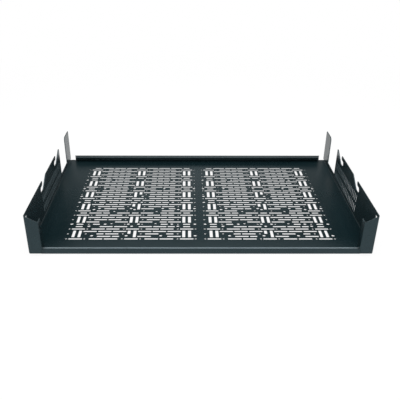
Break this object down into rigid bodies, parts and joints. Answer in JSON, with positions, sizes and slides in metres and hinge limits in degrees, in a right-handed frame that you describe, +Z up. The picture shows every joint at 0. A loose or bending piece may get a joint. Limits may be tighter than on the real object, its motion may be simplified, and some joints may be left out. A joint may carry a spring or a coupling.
{
  "type": "rack shelf",
  "caption": "Folded sheet-metal tray with a slotted pan, low side walls with hook slots, upright rear ears and short front flanges, to hang in a rack and carry small equipment.",
  "frame": {"origin": "under the middle of the shelf, level with the bottom edge of the front lip", "axes": "+X to the right across the shelf, +Y from the front to the back, +Z up"},
  "size_m": [0.442, 0.2844, 0.0606],
  "materials": {
    "powder_coat": "satin black powder coat"
  },
  "bodies": {
    "root": {"shelf_tray": "powder_coat"}
  },
  "joints": []
}
